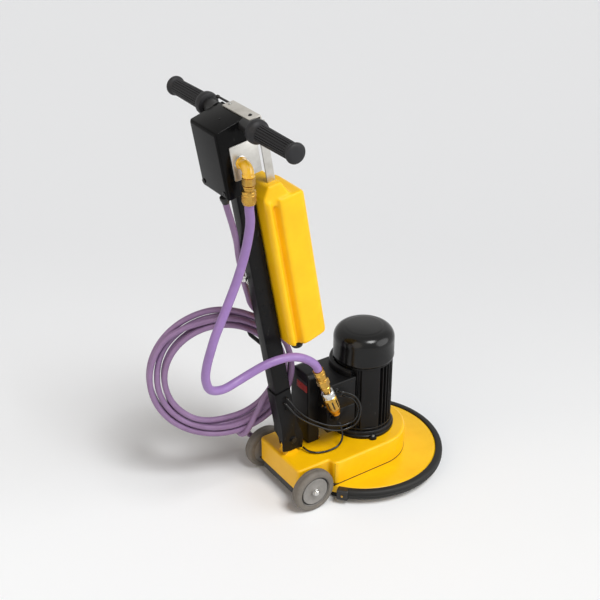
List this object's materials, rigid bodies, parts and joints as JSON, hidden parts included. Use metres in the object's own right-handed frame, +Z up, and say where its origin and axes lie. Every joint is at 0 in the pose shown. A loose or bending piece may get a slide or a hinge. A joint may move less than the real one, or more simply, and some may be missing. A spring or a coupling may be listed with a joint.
{
  "type": "rotary floor machine",
  "caption": "Walk-behind single-disc rotary floor machine with upright motor, tilting handle, solution tank, wheels and coiled hose.",
  "frame": {"origin": "centre of the pad's underside, on the floor", "axes": "+Z up, +Y forward from the wheels to the disc, +X to the machine's right"},
  "size_m": [0.574, 0.8587, 1.2185],
  "materials": {
    "yellow_enamel": "satin",
    "yellow_moulding": "satin",
    "black_paint": "gloss",
    "black_rubber": "matt",
    "black_plastic": "satin",
    "grey_tyre": "matt",
    "grey_hub": "satin",
    "bright_steel": "bright",
    "chrome": "polished",
    "aluminium": "mill finish",
    "brass": "turned",
    "copper_winding": "varnished",
    "lilac_hose": "satin",
    "pad_fibre": "fibrous"
  },
  "bodies": {
    "chassis": {"chassis_housing": "yellow_enamel", "deck_disc": "yellow_enamel", "bumper_ring": "black_rubber", "bumper_bracket_left": "black_plastic", "bumper_bracket_right": "black_plastic", "axle": "bright_steel", "axle_cap_left": "chrome", "axle_cap_right": "chrome", "pivot_pin": "bright_steel", "motor_flange": "black_paint", "motor_body": "black_paint", "fan_cowl": "black_paint", "stator": "copper_winding", "motor_bearing_lower": "bright_steel", "motor_bearing_upper": "bright_steel", "ring_gear": "bright_steel", "output_bearing": "bright_steel", "terminal_box": "black_paint", "feed_block": "black_paint", "feed_elbow": "black_paint", "capacitor_box": "black_paint", "coupler_stem": "brass", "coupler_body": "brass", "motor_cable_upper": "black_rubber", "motor_cable_lower": "black_rubber", "ground_lead": "black_rubber"},
    "rotor": {"rotor_shaft": "bright_steel", "cooling_fan": "black_plastic"},
    "disc": {"planet_carrier": "bright_steel", "drive_plate": "black_plastic", "pad": "pad_fibre"},
    "planet_1": {"planet_gear_1": "bright_steel"},
    "planet_2": {"planet_gear_2": "bright_steel"},
    "planet_3": {"planet_gear_3": "bright_steel"},
    "wheel_left": {"wheel_tyre_left": "grey_tyre", "wheel_hub_left": "grey_hub"},
    "wheel_right": {"wheel_tyre_right": "grey_tyre", "wheel_hub_right": "grey_hub"},
    "handle": {"yoke": "black_paint", "column_tube": "black_paint", "hose_hook": "black_paint", "control_box": "black_paint", "control_box_cover": "black_paint", "handlebar": "black_paint", "grip_left": "black_rubber", "grip_right": "black_rubber", "clamp_plate": "aluminium", "valve_plate": "aluminium", "valve_elbow": "yellow_moulding", "hose_swivel_nut": "brass", "tank": "yellow_moulding", "tank_hanger": "aluminium", "feed_hose": "lilac_hose", "supply_hose": "lilac_hose", "supply_coil": "lilac_hose", "supply_tail": "lilac_hose", "supply_connector": "brass"},
    "lever": {"switch_lever": "black_plastic"},
    "drain": {"drain_cap": "black_plastic"},
    "coupler_lock": {"coupler_sleeve": "chrome"}
  },
  "joints": [
    {"name": "handle_tilt", "type": "hinge", "parent": "chassis", "child": "handle", "pos_m": [0, -0.2643, 0.1774], "axis": [1, 0, 0], "range_deg": [0, 32]},
    {"name": "wheel_left_spin", "type": "hinge", "parent": "chassis", "child": "wheel_left", "pos_m": [-0.1275, -0.2655, 0.066], "axis": [1, 0, 0], "continuous": true},
    {"name": "wheel_right_spin", "type": "hinge", "parent": "chassis", "child": "wheel_right", "pos_m": [0.1275, -0.2655, 0.066], "axis": [1, 0, 0], "continuous": true},
    {"name": "disc_spin", "type": "hinge", "parent": "chassis", "child": "disc", "pos_m": [0, 0, 0.03], "axis": [0, 0, 1], "continuous": true},
    {"name": "rotor_spin", "type": "hinge", "parent": "chassis", "child": "rotor", "pos_m": [0, 0, 0.25], "axis": [0, 0, 1], "continuous": true},
    {"name": "planet_1_spin", "type": "hinge", "parent": "disc", "child": "planet_1", "pos_m": [0.03375, 0, 0.083], "axis": [0, 0, 1], "continuous": true},
    {"name": "planet_2_spin", "type": "hinge", "parent": "disc", "child": "planet_2", "pos_m": [-0.01688, 0.02923, 0.083], "axis": [0, 0, 1], "continuous": true},
    {"name": "planet_3_spin", "type": "hinge", "parent": "disc", "child": "planet_3", "pos_m": [-0.01688, -0.02923, 0.083], "axis": [0, 0, 1], "continuous": true},
    {"name": "lever_press", "type": "hinge", "parent": "handle", "child": "lever", "pos_m": [-0.0433, -0.4061, 1.20875], "axis": [0, -0.9857, -0.1685], "range_deg": [0, 6], "stiffness_Nm_per_rad": 0.6, "springref_deg": -20.05},
    {"name": "drain_turn", "type": "hinge", "parent": "handle", "child": "drain", "pos_m": [0.034, -0.25946, 0.51707], "axis": [0, -0.1685, 0.9857], "range_deg": [0, 90]},
    {"name": "coupler_release", "type": "slide", "parent": "chassis", "child": "coupler_lock", "axis": [0.0079, -0.3608, 0.9326], "range_m": [0, 0.006], "stiffness_N_per_m": 500, "springref_m": -0.008}
  ],
  "couplings": [
    {"joint": "rotor_spin", "follows": "disc_spin", "ratio": 5},
    {"joint": "planet_1_spin", "follows": "disc_spin", "ratio": -2.6667},
    {"joint": "planet_2_spin", "follows": "disc_spin", "ratio": -2.6667},
    {"joint": "planet_3_spin", "follows": "disc_spin", "ratio": -2.6667}
  ]
}
